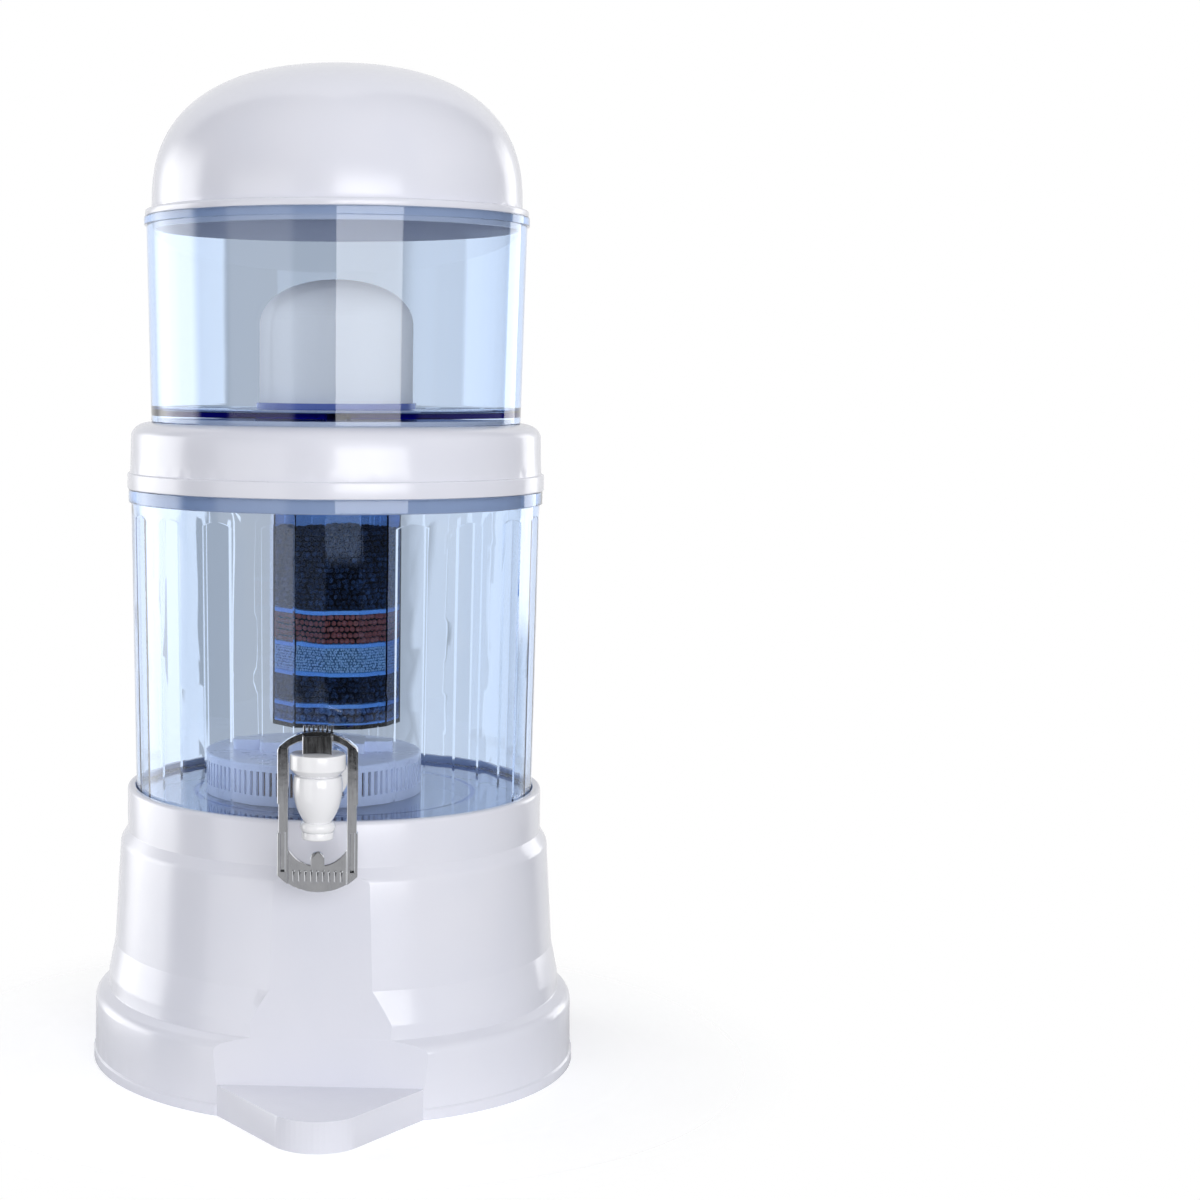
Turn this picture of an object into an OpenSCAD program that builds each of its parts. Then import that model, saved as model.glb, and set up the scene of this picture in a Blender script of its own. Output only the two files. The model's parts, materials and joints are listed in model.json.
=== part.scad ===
// Gravity water filter: a lidded upper tank with a ceramic filter, a collar, a lower tank with a
// mineral cartridge hanging in it, a stone case and a push tap, and a stand with a cup tray.
// Millimetres, +Z up, tap towards -Y. The origin is on the floor, under the tanks' axis.

/* [Stand] */
// Height of the stand's rim above the floor
stand_h = 176; // [150:1:210]
// Height of the skirt, the stand's lowest step
skirt_h = 46; // [38:1:54]
// How far the skirt stands out past the waist
skirt_step = 9.7; // [6:0.1:12]
// Height of the waist, the step above the skirt
waist_h = 30; // [24:1:38]
// How far the waist stands out past the drum's foot
waist_step = 4.3; // [2:0.1:6]
// How far the drum's foot stands out past its top
drum_draft = 3.9; // [2:0.1:6]
// How far the drum stands out past the rim
drum_step = 4.4; // [3:0.1:6]
// Height of the rim above the drum
rim_h = 27.6; // [24:0.1:34]
// Thickness of the rim round the tank
rim_t = 5.2; // [4.5:0.1:8]
// Thickness of the stand's walls and deck
stand_wall = 3; // [2:0.1:4]
// Depth of the recess that holds the lower tank
seat_depth = 16; // [10:0.5:20]
// Gap between the lower tank and the stand's rim
seat_gap = 0.7; // [0.3:0.1:1.5]
// Height of the bead round the stand's foot
bead_h = 6; // [4:0.5:9]
// How far the bead stands out
bead_out = 1; // [0.5:0.1:1.6]
// How far the front flat is cut in from the foot's radius
flat_inset = 13.2; // [10:0.1:16]
// Lean of the front flat, in degrees
flat_draft = 3.1; // [2:0.05:3.2]

/* [Cup tray] */
// Height of the tray's top
tray_h = 18.7; // [14:0.1:26]
// Width of the tray where it leaves the stand
tray_w = 122; // [100:1:124]
// Reach of the tray's side lines, to where they would meet
tray_reach = 82.8; // [70:0.1:95]
// Radius of the tray's nose
tray_nose_r = 29; // [20:1:36]

/* [Lower tank] */
// Height of the lower tank
tank_h = 205.4; // [180:0.1:240]
// Outer radius of the lower tank under its rim band
tank_r = 129.8; // [120:0.1:140]
// How much less the outer radius is at the foot
tank_taper = 3; // [1:0.1:4]
// Wall of the lower tank
tank_wall = 3; // [2.4:0.1:4]
// Thickness of the lower tank's floor
tank_floor_t = 3; // [2.5:0.1:5]
// Height of the floor's underside over the foot
tank_foot_h = 9; // [7:0.5:16]
// Outer radius of the ring under the floor
foot_ring_r = 90; // [75:1:100]
// Height of the rim band
band_h = 8.4; // [6:0.1:11]
// How far the rim band stands out
band_out = 1.7; // [1:0.1:2.4]
// Number of flat-bottomed flutes
flute_count = 20; // [12:1:24]
// Width of a flute
flute_w = 19; // [14:0.5:24]
// Rise of a flute's arched top
flute_arch = 2.4; // [1:0.1:5]
// Turn of the flutes from the front, in degrees
flute_turn = 5.7; // [-9:0.1:9]
// Gap between the rim band and the flutes' arched tops
flute_top_gap = 6.4; // [3:0.1:12]

/* [Collar] */
// Height of the collar above the lower tank's rim
collar_h = 41.9; // [34:0.1:50]
// Wall of the collar
collar_wall = 3; // [2:0.1:4]
// How far the collar's bottom ring stands out past the tank
collar_out = 2.4; // [1.8:0.1:4]
// How far the bottom ring stands out past the collar's wall
collar_step = 1.7; // [1:0.1:3]
// How far in the collar's wall leans from its foot to its top
collar_lean = 0.9; // [0:0.1:2]
// Height of the collar's bottom ring
collar_ring_h = 10.1; // [7:0.1:14]
// Width of the collar's rounded shoulder
shoulder_w = 12.1; // [9:0.1:12.5]
// Height of the collar's rounded shoulder
shoulder_h = 9.5; // [7:0.1:16]
// Depth of the collar's plug in the tank
plug_h = 9; // [6:0.5:14]
// Radial gap round the plugs of the collar and the lid
plug_gap = 0.6; // [0.4:0.1:1.2]
// Play between the collar's seat and the rim it rests on, mm
seat_play = 0.01; // [0.01:0.01:0.05]
// Thickness of the plugs
plug_t = 2.5; // [2:0.1:3.5]
// Radius of the hole that the cartridge passes
collar_hole_r = 50; // [47:0.5:56]

/* [Upper tank] */
// Height of the upper tank
upper_h = 128.1; // [110:0.1:160]
// How far in the upper tank's foot stands from the collar's shoulder
upper_foot_inset = 0.5; // [0.2:0.1:2]
// How much more the outer radius is under the rim band
upper_taper = 2.7; // [1:0.1:5]
// Wall of the upper tank
upper_wall = 3; // [2.4:0.1:4]
// Thickness of the upper tank's floor
upper_floor_t = 3; // [2.5:0.1:5]
// Height of the floor's underside over the foot
upper_foot_h = 4.4; // [3:0.1:8]
// Height of the rim band
upper_band_h = 5.3; // [4:0.1:8]
// How far the rim band stands out
upper_band_out = 1.5; // [0.8:0.1:2.4]
// Radius of the boss under the floor
boss_r = 51.5; // [30:0.5:56]
// Gap between the boss and the collar
boss_gap = 1; // [0.5:0.1:2]

/* [Lid] */
// Height of the dome above the flange
dome_h = 89.5; // [70:0.5:110]
// How far in the dome stands from the flange's edge
dome_inset = 4.1; // [3:0.1:7]
// Fullness of the dome: 2 is an ellipse, more is squarer
dome_power = 2.45; // [2:0.05:3]
// Thickness of the lid's flange
flange_t = 4.6; // [3:0.1:6]
// Wall of the lid
lid_wall = 2.6; // [2:0.1:4]
// Depth of the lid's plug in the tank
lid_plug_h = 8; // [5:0.5:12]

/* [Ceramic filter] */
// Outer radius of the ceramic dome
ceramic_r = 48.7; // [42:0.1:56]
// Height of the ceramic dome
ceramic_h = 79.7; // [60:0.1:95]
// Height of the dome's round crown
ceramic_crown = 29; // [20:0.5:45]
// Fullness of the crown: 2 is an ellipse, more is squarer
ceramic_power = 2.1; // [2:0.05:2.6]
// Wall of the ceramic dome
ceramic_wall = 8; // [6:0.5:11]
// How far the base ring stands out past the dome
ring_out = 2.3; // [1:0.1:4]
// Height of the base ring
ring_h = 4.2; // [3.5:0.1:8]
// Thickness of the gasket under the base ring
gasket_t = 1; // [0.8:0.1:2]
// Radius of the outlet stem
outlet_r = 6; // [5:0.1:7.5]
// Radius of the outlet's waterway
outlet_bore_r = 3; // [2:0.1:3.6]
// Height of the fixing nut
nut_h = 7; // [5:0.5:9]
// Span across the fixing nut's wings
nut_span = 46; // [32:1:60]

/* [Cartridge] */
// Radius of the cartridge housing, over its corners
cartridge_r = 42; // [37:0.5:43]
// Gap between the cartridge and the stone case under it
cartridge_gap = 12.5; // [4:0.5:20]
// Room over the upper carbon
head_room = 30; // [20:0.5:40]
// Wall of the cartridge housing
cartridge_wall = 2; // [1.5:0.1:3]
// Turn of the cartridge on its thread, in degrees
cartridge_turn = -5; // [-15:1:15]
// Depth of the bottom layer of stones
stones_h = 9.5; // [6:0.5:12]
// Depth of the lower carbon
carbon_low_h = 17.5; // [12:0.1:20]
// Depth of the sand
sand_h = 15.8; // [10:0.1:18]
// Depth of the mineral balls
balls_h = 18.6; // [12:0.1:20]
// Thickness of the separator pads
pad_t = 2.4; // [1.5:0.1:3]
// Thickness of the strainer under the stones
strainer_t = 1; // [0.8:0.1:1.5]
// Gap round the pads and layers in the housing
layer_gap = 0.3; // [0.2:0.1:0.8]
// Height of the cartridge cap's neck
neck_h = 17.5; // [16:0.5:20]
// Thickness of the cartridge cap's top
cap_top_t = 4; // [3:0.1:5]
// How far the cap overlaps the housing
cap_lap = 5; // [4:0.5:8]
// How far the cap stands out past the housing's corners
cap_out = 1.8; // [1.5:0.1:2.5]

/* [Stone case] */
// Radius of the stone case
case_r = 69; // [55:0.5:72]
// Height of the case body, up to its lid
case_h = 22; // [18:0.5:27]
// How far left of the tank's axis the case lies
case_left = 13.5; // [0:0.1:20]
// Wall of the case
case_wall = 2.4; // [1.8:0.1:3]
// Number of slots round the case
slot_count = 96; // [48:1:100]
// Width of a slot
slot_w = 1.9; // [1.2:0.1:2.2]
// Height of the plain band under the slots
slot_up = 6; // [4:0.1:7]
// Height of the plain band over the slots
slot_under = 1; // [0.6:0.1:3]
// Thickness of the case lid
case_lid_t = 3.5; // [3:0.1:5]
// Length of the lid's grip bar
grip_len = 103; // [80:1:106]
// Depth of the grip bar, front to back
grip_d = 14; // [10:0.5:20]
// Height of the grip bar
grip_h = 6.5; // [5:0.5:9]
// Width of the block in the middle of the grip bar
knob_w = 66; // [50:1:76]
// Depth of the block, front to back
knob_d = 34; // [24:1:40]
// Depth of the stones in the case
case_fill = 14; // [8:0.5:14]

/* [Tap] */
// Height of the tap's bore above the tank's floor
tap_up = 32; // [28:0.5:42]
// Reach from the tank's boss to the valve's axis
tap_reach = 46.6; // [44:0.1:60]
// Radius of the tank's boss round the tap
tap_boss_r = 18; // [17:0.5:20]
// How far the boss stands out past the tank's wall
tap_boss_out = 2; // [1:0.1:4]
// How far the boss stands in past the tank's wall
tap_boss_in = 1; // [0.5:0.1:3]
// Radius of the threaded shank
shank_r = 8; // [6.5:0.1:9]
// Radius of the shank between flange and barrel
stub_r = 10; // [9:0.1:11]
// Radius of the tap's waterway
inlet_r = 5; // [3:0.1:5.5]
// Radius of the tap's flange
tap_flange_r = 15.5; // [13:0.1:17]
// Thickness of the tap's flange
tap_flange_t = 3; // [2:0.1:4]
// Thickness of the rubber washers
washer_t = 2; // [1:0.1:3]
// Thickness of the tap nut
tap_nut_t = 8; // [6:0.5:10]
// Largest radius of the barrel
barrel_r = 14.2; // [13.5:0.05:15]
// Drop from the bore to the outlet
outlet_drop = 28.9; // [27.5:0.1:34]
// Outer radius of the outlet
nozzle_r = 9.05; // [8:0.05:10]
// Length of the outlet below its ring
nozzle_h = 4.2; // [4:0.1:8]
// Radius of the outlet's waterway
nozzle_bore_r = 6; // [4.5:0.1:6.5]
// Radius of the cap over the barrel
tap_cap_r = 15.95; // [15.2:0.05:17]
// Rise from the bore to the cap's top
cap_rise = 20.2; // [19:0.1:23]
// Radius of the stem
stem_r = 2.5; // [2:0.1:2.8]
// Radial gap of the running fits
running_gap = 0.05; // [0.02:0.01:0.09]

/* [Lever] */
// How far the lever hangs below the tap's outlet
lever_below = 31.6; // [29:0.1:40]
// Width of the lever's rails
rail_w = 6.2; // [4.5:0.1:8]
// Depth of the lever's rails, front to back
rail_d = 7; // [5:0.5:9]
// Gap between the lever and the cap's side
lever_gap = 0.8; // [0.5:0.1:2]
// Rise of the arch over the pin
arch_rise = 7.6; // [7:0.1:10]
// Thickness of the push plate
plate_t = 3; // [2:0.1:4]
// Radius of the lever's pin
pin_r = 1.5; // [1.2:0.1:1.7]
// Width of the lever's block
block_w = 16.8; // [14:0.1:20]
// Half the depth of the lever's block, which is its cam's radius
cam_r = 8; // [7.5:0.1:9]
// Height of the pin over the cap's top
pin_rise = 5.3; // [5:0.1:6.5]
// Height of the block above the pin
block_rise = 5.6; // [5.5:0.1:6.5]

/* [Hidden] */
$fn = 96;

// Slack that a cut runs past the faces it cuts
past = 1;
// How far a flute's outline runs past its face on each side, so that the wall alone ends the face
flute_spare = 4;
// Gaps of screwed joints and of glued joints
screw_gap = 0.05;
glue_gap = 0.15;
// Sides of the cartridge housing, of the tap nut and of the fixing nut
cartridge_sides = 12;
hex = 6;

// Heights of the seats, from the floor up
seat_z = stand_h - seat_depth;
tank_floor_z = seat_z + tank_foot_h + tank_floor_t;
tank_rim_z = seat_z + tank_h;
collar_top_z = tank_rim_z + collar_h;
upper_floor_low_z = collar_top_z + upper_foot_h;
upper_floor_z = upper_floor_low_z + upper_floor_t;
upper_rim_z = collar_top_z + upper_h;
flange_top_z = upper_rim_z + flange_t;

// Radii of the lower tank and, from it outwards, of the stand
tank_foot_r = tank_r - tank_taper;
stand_open_r = tank_foot_r + seat_gap;
rim_r = stand_open_r + rim_t;
drum_top_r = rim_r + drum_step;
drum_r = drum_top_r + drum_draft;
waist_r = drum_r + waist_step;
skirt_r = waist_r + skirt_step;
flat_r = skirt_r - flat_inset;
drum_top_z = stand_h - rim_h;

// Radii of the collar, the upper tank and the lid
collar_r = tank_r + collar_out;
collar_wall_r = collar_r - collar_step;
upper_foot_r = collar_wall_r - collar_lean - shoulder_w - upper_foot_inset;
upper_r = upper_foot_r + upper_taper;
upper_band_r = upper_r + upper_band_out;

// Stone case, on the floor of the lower tank
case_top_z = tank_floor_z + case_h + case_lid_t + grip_h;

// Ceramic filter, from the floor of the upper tank
ring_r = ceramic_r + ring_out;
ring_z = upper_floor_z + gasket_t;
ring_floor_t = 2;
ceramic_z = ring_z + ring_floor_t;
outlet_hole_r = outlet_r + 0.6;
boss_low_z = collar_top_z + boss_gap;
floor_washer_t = 1.5;
floor_washer_r = outlet_r + 8;
nut_z = boss_low_z - floor_washer_t - nut_h;
nut_to_neck = 4;

// Cartridge, hung from the outlet stem
neck_top_z = nut_z - nut_to_neck;
neck_r = outlet_r + 5;
outlet_depth = 9;
cap_r = cartridge_r + cap_out;
housing_top_z = neck_top_z - neck_h - cap_top_t;
cap_low_z = housing_top_z - cap_lap;
housing_z = case_top_z + cartridge_gap;
corner = cos(180 / cartridge_sides);
inner_r = cartridge_r - cartridge_wall / corner;
layer_r = inner_r - layer_gap / corner;
housing_floor_t = 2.5;
strainer_z = housing_z + housing_floor_t;
stones_z = strainer_z + strainer_t;
pad_1_z = stones_z + stones_h;
carbon_low_z = pad_1_z + pad_t;
pad_2_z = carbon_low_z + carbon_low_h;
sand_z = pad_2_z + pad_t;
pad_3_z = sand_z + sand_h;
balls_z = pad_3_z + pad_t;
pad_4_z = balls_z + balls_h;
carbon_top_z = pad_4_z + pad_t;
carbon_top_h = housing_top_z - head_room - carbon_top_z;

// Tap
tap_z = tank_floor_z + tap_up;
boss_face_y = -(tank_radius(tap_z) + tap_boss_out);
boss_wall_r = tank_radius(tap_z - tap_boss_r) - tank_wall;
boss_inner_y = tap_boss_in - sqrt(boss_wall_r * boss_wall_r - tap_boss_r * tap_boss_r);
valve_y = boss_face_y - tap_reach;
shank_hole_r = shank_r + 0.3;
flange_y = boss_face_y - washer_t;
tap_nut_y = boss_inner_y + washer_t;
tap_nut_r = shank_r + 8;
shank_end_y = tap_nut_y + tap_nut_t + 3;
neck_out_r = barrel_r - 2.5;
neck_up = 15;
barrel_mid_up = 1;
barrel_top_up = 7.4;
barrel_low = 18.9;
barrel_curve_r = 34;
nozzle_ring_r = nozzle_r + 1.05;
chamber_r = neck_out_r - 2.5;
seat_top = 12;
seat_low = 15;
cap_skirt_up = 8.6;
cap_room = 0.3;
cap_skirt_t = 1.5;
cap_side_up = 11.6;
cap_top_z = tap_z + cap_rise;
spring_pocket_r = 7;
spring_top_z = cap_top_z - 3;
seal_gap = 0.15;
seal_top = 9;
seal_neck_r = 4;
seal_neck_top = 6;
spring_r = 5.6;
wire_r = 0.6;
spring_turns = 6;

// Lever, about its pin
pin_z = cap_top_z + pin_rise;
lever_drop = cap_rise + pin_rise + outlet_drop + lever_below;
block_gap = 0.1;
stem_bore_r = pin_r + running_gap;
tang_w = 6;
tang_half_d = 3;
tang_up = 3.5;
tang_slot_half_w = tang_w / 2 + 0.2;
tang_slot_half_d = 6;
tang_slot_rise = 4.6;
lever_in_r = tap_cap_r + lever_gap;
lever_half_w = lever_in_r + rail_w;
lever_back = 1;
lever_end = lever_drop - 0.4;
lever_arch_r = 31.5;
lever_arch_t = 4.4;
lever_end_r = 31.8;

// Points of a closed outline of [x, y, radius], with each corner rounded by its radius
function rounded(points, steps = 6) =
  [for (i = [0:len(points) - 1])
    let (before = points[(i + len(points) - 1) % len(points)], here = points[i],
      after = points[(i + 1) % len(points)])
    each here[2] == 0 ? [[here[0], here[1]]] : rounded_corner(before, here, after, here[2], steps)];

function unit(v) = v / norm(v);

function flat(p) = [p[0], p[1]];

// Arc of a corner's fillet, no longer than the lines beside it allow
function rounded_corner(before, here, after, radius, steps) =
  let (to_before = flat(before) - flat(here), to_after = flat(after) - flat(here),
    half = acos(unit(to_before) * unit(to_after)) / 2,
    reach = min(radius / tan(half), 0.45 * norm(to_before), 0.45 * norm(to_after)),
    r = reach * tan(half),
    centre = flat(here) + unit(unit(to_before) + unit(to_after)) * r / sin(half),
    start = flat(here) + unit(to_before) * reach - centre,
    end = flat(here) + unit(to_after) * reach - centre,
    a0 = atan2(start[1], start[0]),
    turn = atan2(end[1], end[0]) - a0,
    sweep = turn > 180 ? turn - 360 : turn < -180 ? turn + 360 : turn)
  [for (k = [0:steps]) centre + r * [cos(a0 + sweep * k / steps), sin(a0 + sweep * k / steps)]];

// Quarter of a superellipse from [r, 0] to [0, h], with the height added to low
function dome_curve(r, h, power, low, steps = 28) =
  [for (i = [0:steps]) let (a = 90 * i / steps) [r * pow(cos(a), 2 / power), low + h * pow(sin(a), 2 / power)]];

// Outer radius of the lower tank's wall at a height
function tank_radius(z) =
  tank_foot_r + tank_taper * (z - seat_z) / (tank_rim_z - band_h - seat_z);

// A ring or disc about the Z axis
module ring(outer, inner, low, high) {
  translate([0, 0, low]) difference() {
    cylinder(r = outer, h = high - low);
    translate([0, 0, -past]) cylinder(r = inner, h = high - low + 2 * past);
  }
}

// A cylinder along +Y from one y to another, on the tap's bore axis
module along_y(r, y0, y1, sides = $fn) {
  translate([0, y0, tap_z]) rotate([-90, 0, 0]) cylinder(r = r, h = y1 - y0, $fn = sides);
}

// Everything behind the stand's leaning front flat, moved back by inset
module behind_flat(inset) {
  span = 2 * (skirt_r + stand_h);
  translate([0, inset - flat_r, 0]) rotate([-flat_draft, 0, 0])
    translate([-span, 0, -span]) cube([2 * span, 2 * span, 2 * span]);
}

// The tray's outline, drawn in by inset, with its sides running back under the stand
module tray_outline(inset) {
  half = tray_w / 2;
  side = atan2(tray_reach, half);
  side_in = inset / sin(side);
  tip_in = inset / cos(side);
  back = skirt_step + 8;
  polygon(rounded([[-half + side_in, back - flat_r, 0], [-half + side_in, -flat_r, 0],
    [0, tip_in - flat_r - tray_reach, tray_nose_r - inset], [half - side_in, -flat_r, 0],
    [half - side_in, back - flat_r, 0]], 16));
}

function stand_outline() = rounded([
  [0, 0, 0],
  [skirt_r, 0, 0],
  [skirt_r, bead_h, 0.6],
  [skirt_r - bead_out, bead_h + bead_out, 0],
  [skirt_r - bead_out - 0.5, skirt_h - 3.5, 10],
  [waist_r, skirt_h + 1, 1],
  [waist_r - 0.3, skirt_h + 10, 16],
  [drum_r, skirt_h + waist_h, 0.8],
  [drum_top_r, drum_top_z - 7, 8],
  [rim_r, drum_top_z, 0.8],
  [rim_r, stand_h, 4.2],
  [stand_open_r, stand_h, 0.8],
  [stand_open_r, seat_z, 0],
  [0, seat_z, 0]]);

function stand_hollow() = [
  [0, -past],
  [skirt_r - bead_out - stand_wall, -past],
  [skirt_r - bead_out - stand_wall - 0.5, skirt_h - stand_wall - 6],
  [waist_r - stand_wall, skirt_h - stand_wall],
  [waist_r - stand_wall - 0.3, skirt_h + 8],
  [drum_r - stand_wall, skirt_h + waist_h - stand_wall],
  [drum_top_r - stand_wall, drum_top_z - 7 - stand_wall],
  [rim_r - stand_wall, drum_top_z - stand_wall],
  [rim_r - stand_wall, seat_z - stand_wall],
  [0, seat_z - stand_wall]];

module base_stand() {
  color("ghostwhite") difference() {
    union() {
      intersection() {
        rotate_extrude() polygon(stand_outline());
        behind_flat(0);
      }
      linear_extrude(tray_h) tray_outline(0);
    }
    intersection() {
      rotate_extrude() polygon(stand_hollow());
      behind_flat(stand_wall);
    }
    translate([0, 0, -past]) linear_extrude(tray_h - stand_wall + past) tray_outline(stand_wall);
  }
}

function lower_tank_outline() = rounded([
  [tank_foot_r, seat_z, 0.8],
  [tank_r, tank_rim_z - band_h, 0],
  [tank_r + band_out, tank_rim_z - band_h, 0.6],
  [tank_r + band_out, tank_rim_z, 0.6],
  [tank_r - tank_wall, tank_rim_z, 0.5],
  [tank_foot_r - tank_wall, tank_floor_z, 3],
  [0, tank_floor_z, 0],
  [0, tank_floor_z - tank_floor_t, 0],
  [foot_ring_r - tank_wall, tank_floor_z - tank_floor_t, 0],
  [foot_ring_r - tank_wall, seat_z, 0],
  [foot_ring_r, seat_z, 0],
  [foot_ring_r, tank_floor_z - tank_floor_t, 0],
  [tank_foot_r - tank_wall, tank_floor_z - tank_floor_t, 0],
  [tank_foot_r - tank_wall, seat_z, 0]]);

// Outline of a flute on the wall, from the tank's foot up, wider than its flat face
module flute_outline(top) {
  top_r = (flute_w * flute_w / 4 + flute_arch * flute_arch) / (2 * flute_arch);
  half_w = flute_w / 2 + flute_spare;
  intersection() {
    translate([-half_w, -tank_foot_h]) square([2 * half_w, top + tank_foot_h + past]);
    union() {
      translate([0, top - top_r]) circle(r = top_r);
      translate([-half_w, -tank_foot_h]) square([2 * half_w, top + tank_foot_h - top_r]);
    }
  }
}

// Flat faces that lean with the tank's wall and end in a low arch, moved in
module flutes(inset) {
  face_r = sqrt(tank_foot_r * tank_foot_r - flute_w * flute_w / 4);
  lean = atan2(tank_taper, tank_rim_z - band_h - seat_z);
  top = (tank_rim_z - band_h - flute_top_gap - seat_z) / cos(lean);
  for (i = [0:flute_count - 1])
    rotate([0, 0, -90 + flute_turn + 360 * i / flute_count])
      translate([face_r - inset, 0, seat_z]) rotate([0, lean, 0]) rotate([90, 0, 90])
        linear_extrude(inset + 2 * tank_wall) flute_outline(top);
}

// Turns a revolved wall so that its seam lies between two flutes
module between_flutes() {
  rotate([0, 0, -90 + flute_turn + 180 / flute_count]) children();
}

// What stands in behind the flutes, so that the wall is as thick there
module flute_ribs() {
  low = tank_floor_z - tank_floor_t / 2;
  high = tank_rim_z - plug_h - past;
  wall_t = tank_radius(tank_floor_z) - tank_foot_r + tank_wall;
  intersection() {
    flutes(wall_t);
    between_flutes() rotate_extrude() polygon([[0, low], [tank_radius(low) - tank_wall / 2, low],
      [tank_radius(high) - tank_wall / 2, high], [0, high]]);
  }
}

module lower_tank() {
  color([0.66, 0.82, 0.95, 0.45]) difference() {
    union() {
      between_flutes() rotate_extrude() polygon(lower_tank_outline());
      flute_ribs();
      along_y(tap_boss_r, boss_face_y, boss_inner_y);
    }
    difference() {
      flutes(0);
      along_y(tap_boss_r, boss_face_y - 2 * tank_wall, boss_inner_y);
    }
    along_y(shank_hole_r, boss_face_y - past, boss_inner_y + past);
  }
}

module tap_washer_outer() {
  color("dimgray") difference() {
    along_y(tap_flange_r - 0.5, flange_y, boss_face_y);
    along_y(shank_hole_r, flange_y - past, boss_face_y + past);
  }
}

module tap_washer_inner() {
  color("dimgray") difference() {
    along_y(tap_flange_r - 0.5, boss_inner_y, tap_nut_y);
    along_y(shank_hole_r, boss_inner_y - past, tap_nut_y + past);
  }
}

module tap_nut() {
  color("white") difference() {
    along_y(tap_nut_r, tap_nut_y, tap_nut_y + tap_nut_t, hex);
    along_y(shank_r + screw_gap, tap_nut_y - past, tap_nut_y + tap_nut_t + past);
  }
}

// Barrel about the valve's axis, with heights from the bore's axis
function barrel_outline() =
  let (low_a = -asin((barrel_low + barrel_mid_up) / barrel_curve_r),
    top_a = asin((barrel_top_up - barrel_mid_up) / barrel_curve_r), steps = 14)
  concat([[0, -outlet_drop], [nozzle_r - 0.6, -outlet_drop], [nozzle_r, -outlet_drop + 0.6],
      [nozzle_r, -outlet_drop + nozzle_h]],
    [for (k = [0:8]) let (a = -90 + 180 * k / 8)
      [nozzle_r - 0.6 + (nozzle_ring_r - nozzle_r + 0.6) * cos(a),
        (-outlet_drop + nozzle_h - barrel_low) / 2 + (outlet_drop - nozzle_h - barrel_low) / 2 * sin(a)]],
    [for (k = [0:steps]) let (a = low_a + (top_a - low_a) * k / steps)
      [barrel_r + barrel_curve_r * (cos(a) - 1), barrel_mid_up + barrel_curve_r * sin(a)]],
    [[neck_out_r, barrel_top_up + 0.4], [neck_out_r, neck_up], [0, neck_up]]);

function chamber_outline() = [
  [0, -outlet_drop - past],
  [nozzle_bore_r, -outlet_drop - past],
  [nozzle_bore_r, -seat_low],
  [chamber_r, -seat_top],
  [chamber_r, neck_up + past],
  [0, neck_up + past]];

module at_valve() {
  translate([0, valve_y, tap_z]) children();
}

module tap_body() {
  color("white") difference() {
    union() {
      at_valve() rotate_extrude() polygon(barrel_outline());
      along_y(stub_r, valve_y, flange_y);
      along_y(tap_flange_r, flange_y - tap_flange_t, flange_y);
      along_y(shank_r, flange_y - past, shank_end_y);
    }
    at_valve() ring(tap_cap_r + cap_room, neck_out_r, cap_skirt_up - cap_room, neck_up + past);
    at_valve() rotate_extrude() polygon(chamber_outline());
    along_y(inlet_r, valve_y, shank_end_y + past);
  }
}

function tap_cap_outline() = rounded([
  [stem_r + running_gap, spring_top_z - tap_z, 0],
  [spring_pocket_r, spring_top_z - tap_z, 0],
  [spring_pocket_r, neck_up, 0],
  [neck_out_r + screw_gap, neck_up, 0],
  [neck_out_r + screw_gap, cap_skirt_up, 0],
  [neck_out_r + cap_skirt_t, cap_skirt_up, 0.4],
  [tap_cap_r, cap_side_up, 0.8],
  [tap_cap_r, cap_rise, 0.9],
  [stem_r + running_gap, cap_rise, 0]]);

module tap_cap() {
  color("white") at_valve() rotate_extrude() polygon(tap_cap_outline());
}

// Rod with a square-sided tang on top, which the lever's pin goes through
module tap_stem() {
  rod_low_z = tap_z - seat_top - 1;
  tang_low_z = cap_top_z + 0.4;
  color("whitesmoke") translate([0, valve_y, 0]) difference() {
    union() {
      translate([0, 0, rod_low_z]) cylinder(r = stem_r, h = tang_low_z - rod_low_z);
      translate([-tang_w / 2, -tang_half_d, tang_low_z])
        cube([tang_w, 2 * tang_half_d, pin_z + tang_up - tang_low_z]);
    }
    translate([-tang_w, 0, pin_z]) rotate([0, 90, 0]) cylinder(r = stem_bore_r, h = 2 * tang_w);
  }
}

// Soft cone that closes the seat at the top of the outlet
module tap_seal() {
  seat_slope = (chamber_r - nozzle_bore_r) / (seat_low - seat_top);
  seal_r = chamber_r - 0.8;
  cone_top = -seat_low + seal_gap + (seal_r - nozzle_bore_r) / seat_slope;
  color("gainsboro") at_valve() difference() {
    rotate_extrude() polygon([[0, seal_gap - seat_low], [nozzle_bore_r, seal_gap - seat_low],
      [seal_r, cone_top], [seal_r, -seal_top], [seal_neck_r, -seal_top],
      [seal_neck_r, -seal_neck_top], [0, -seal_neck_top]]);
    translate([0, 0, -seat_top - 1]) cylinder(r = stem_r + screw_gap, h = seat_top);
  }
}

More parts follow.
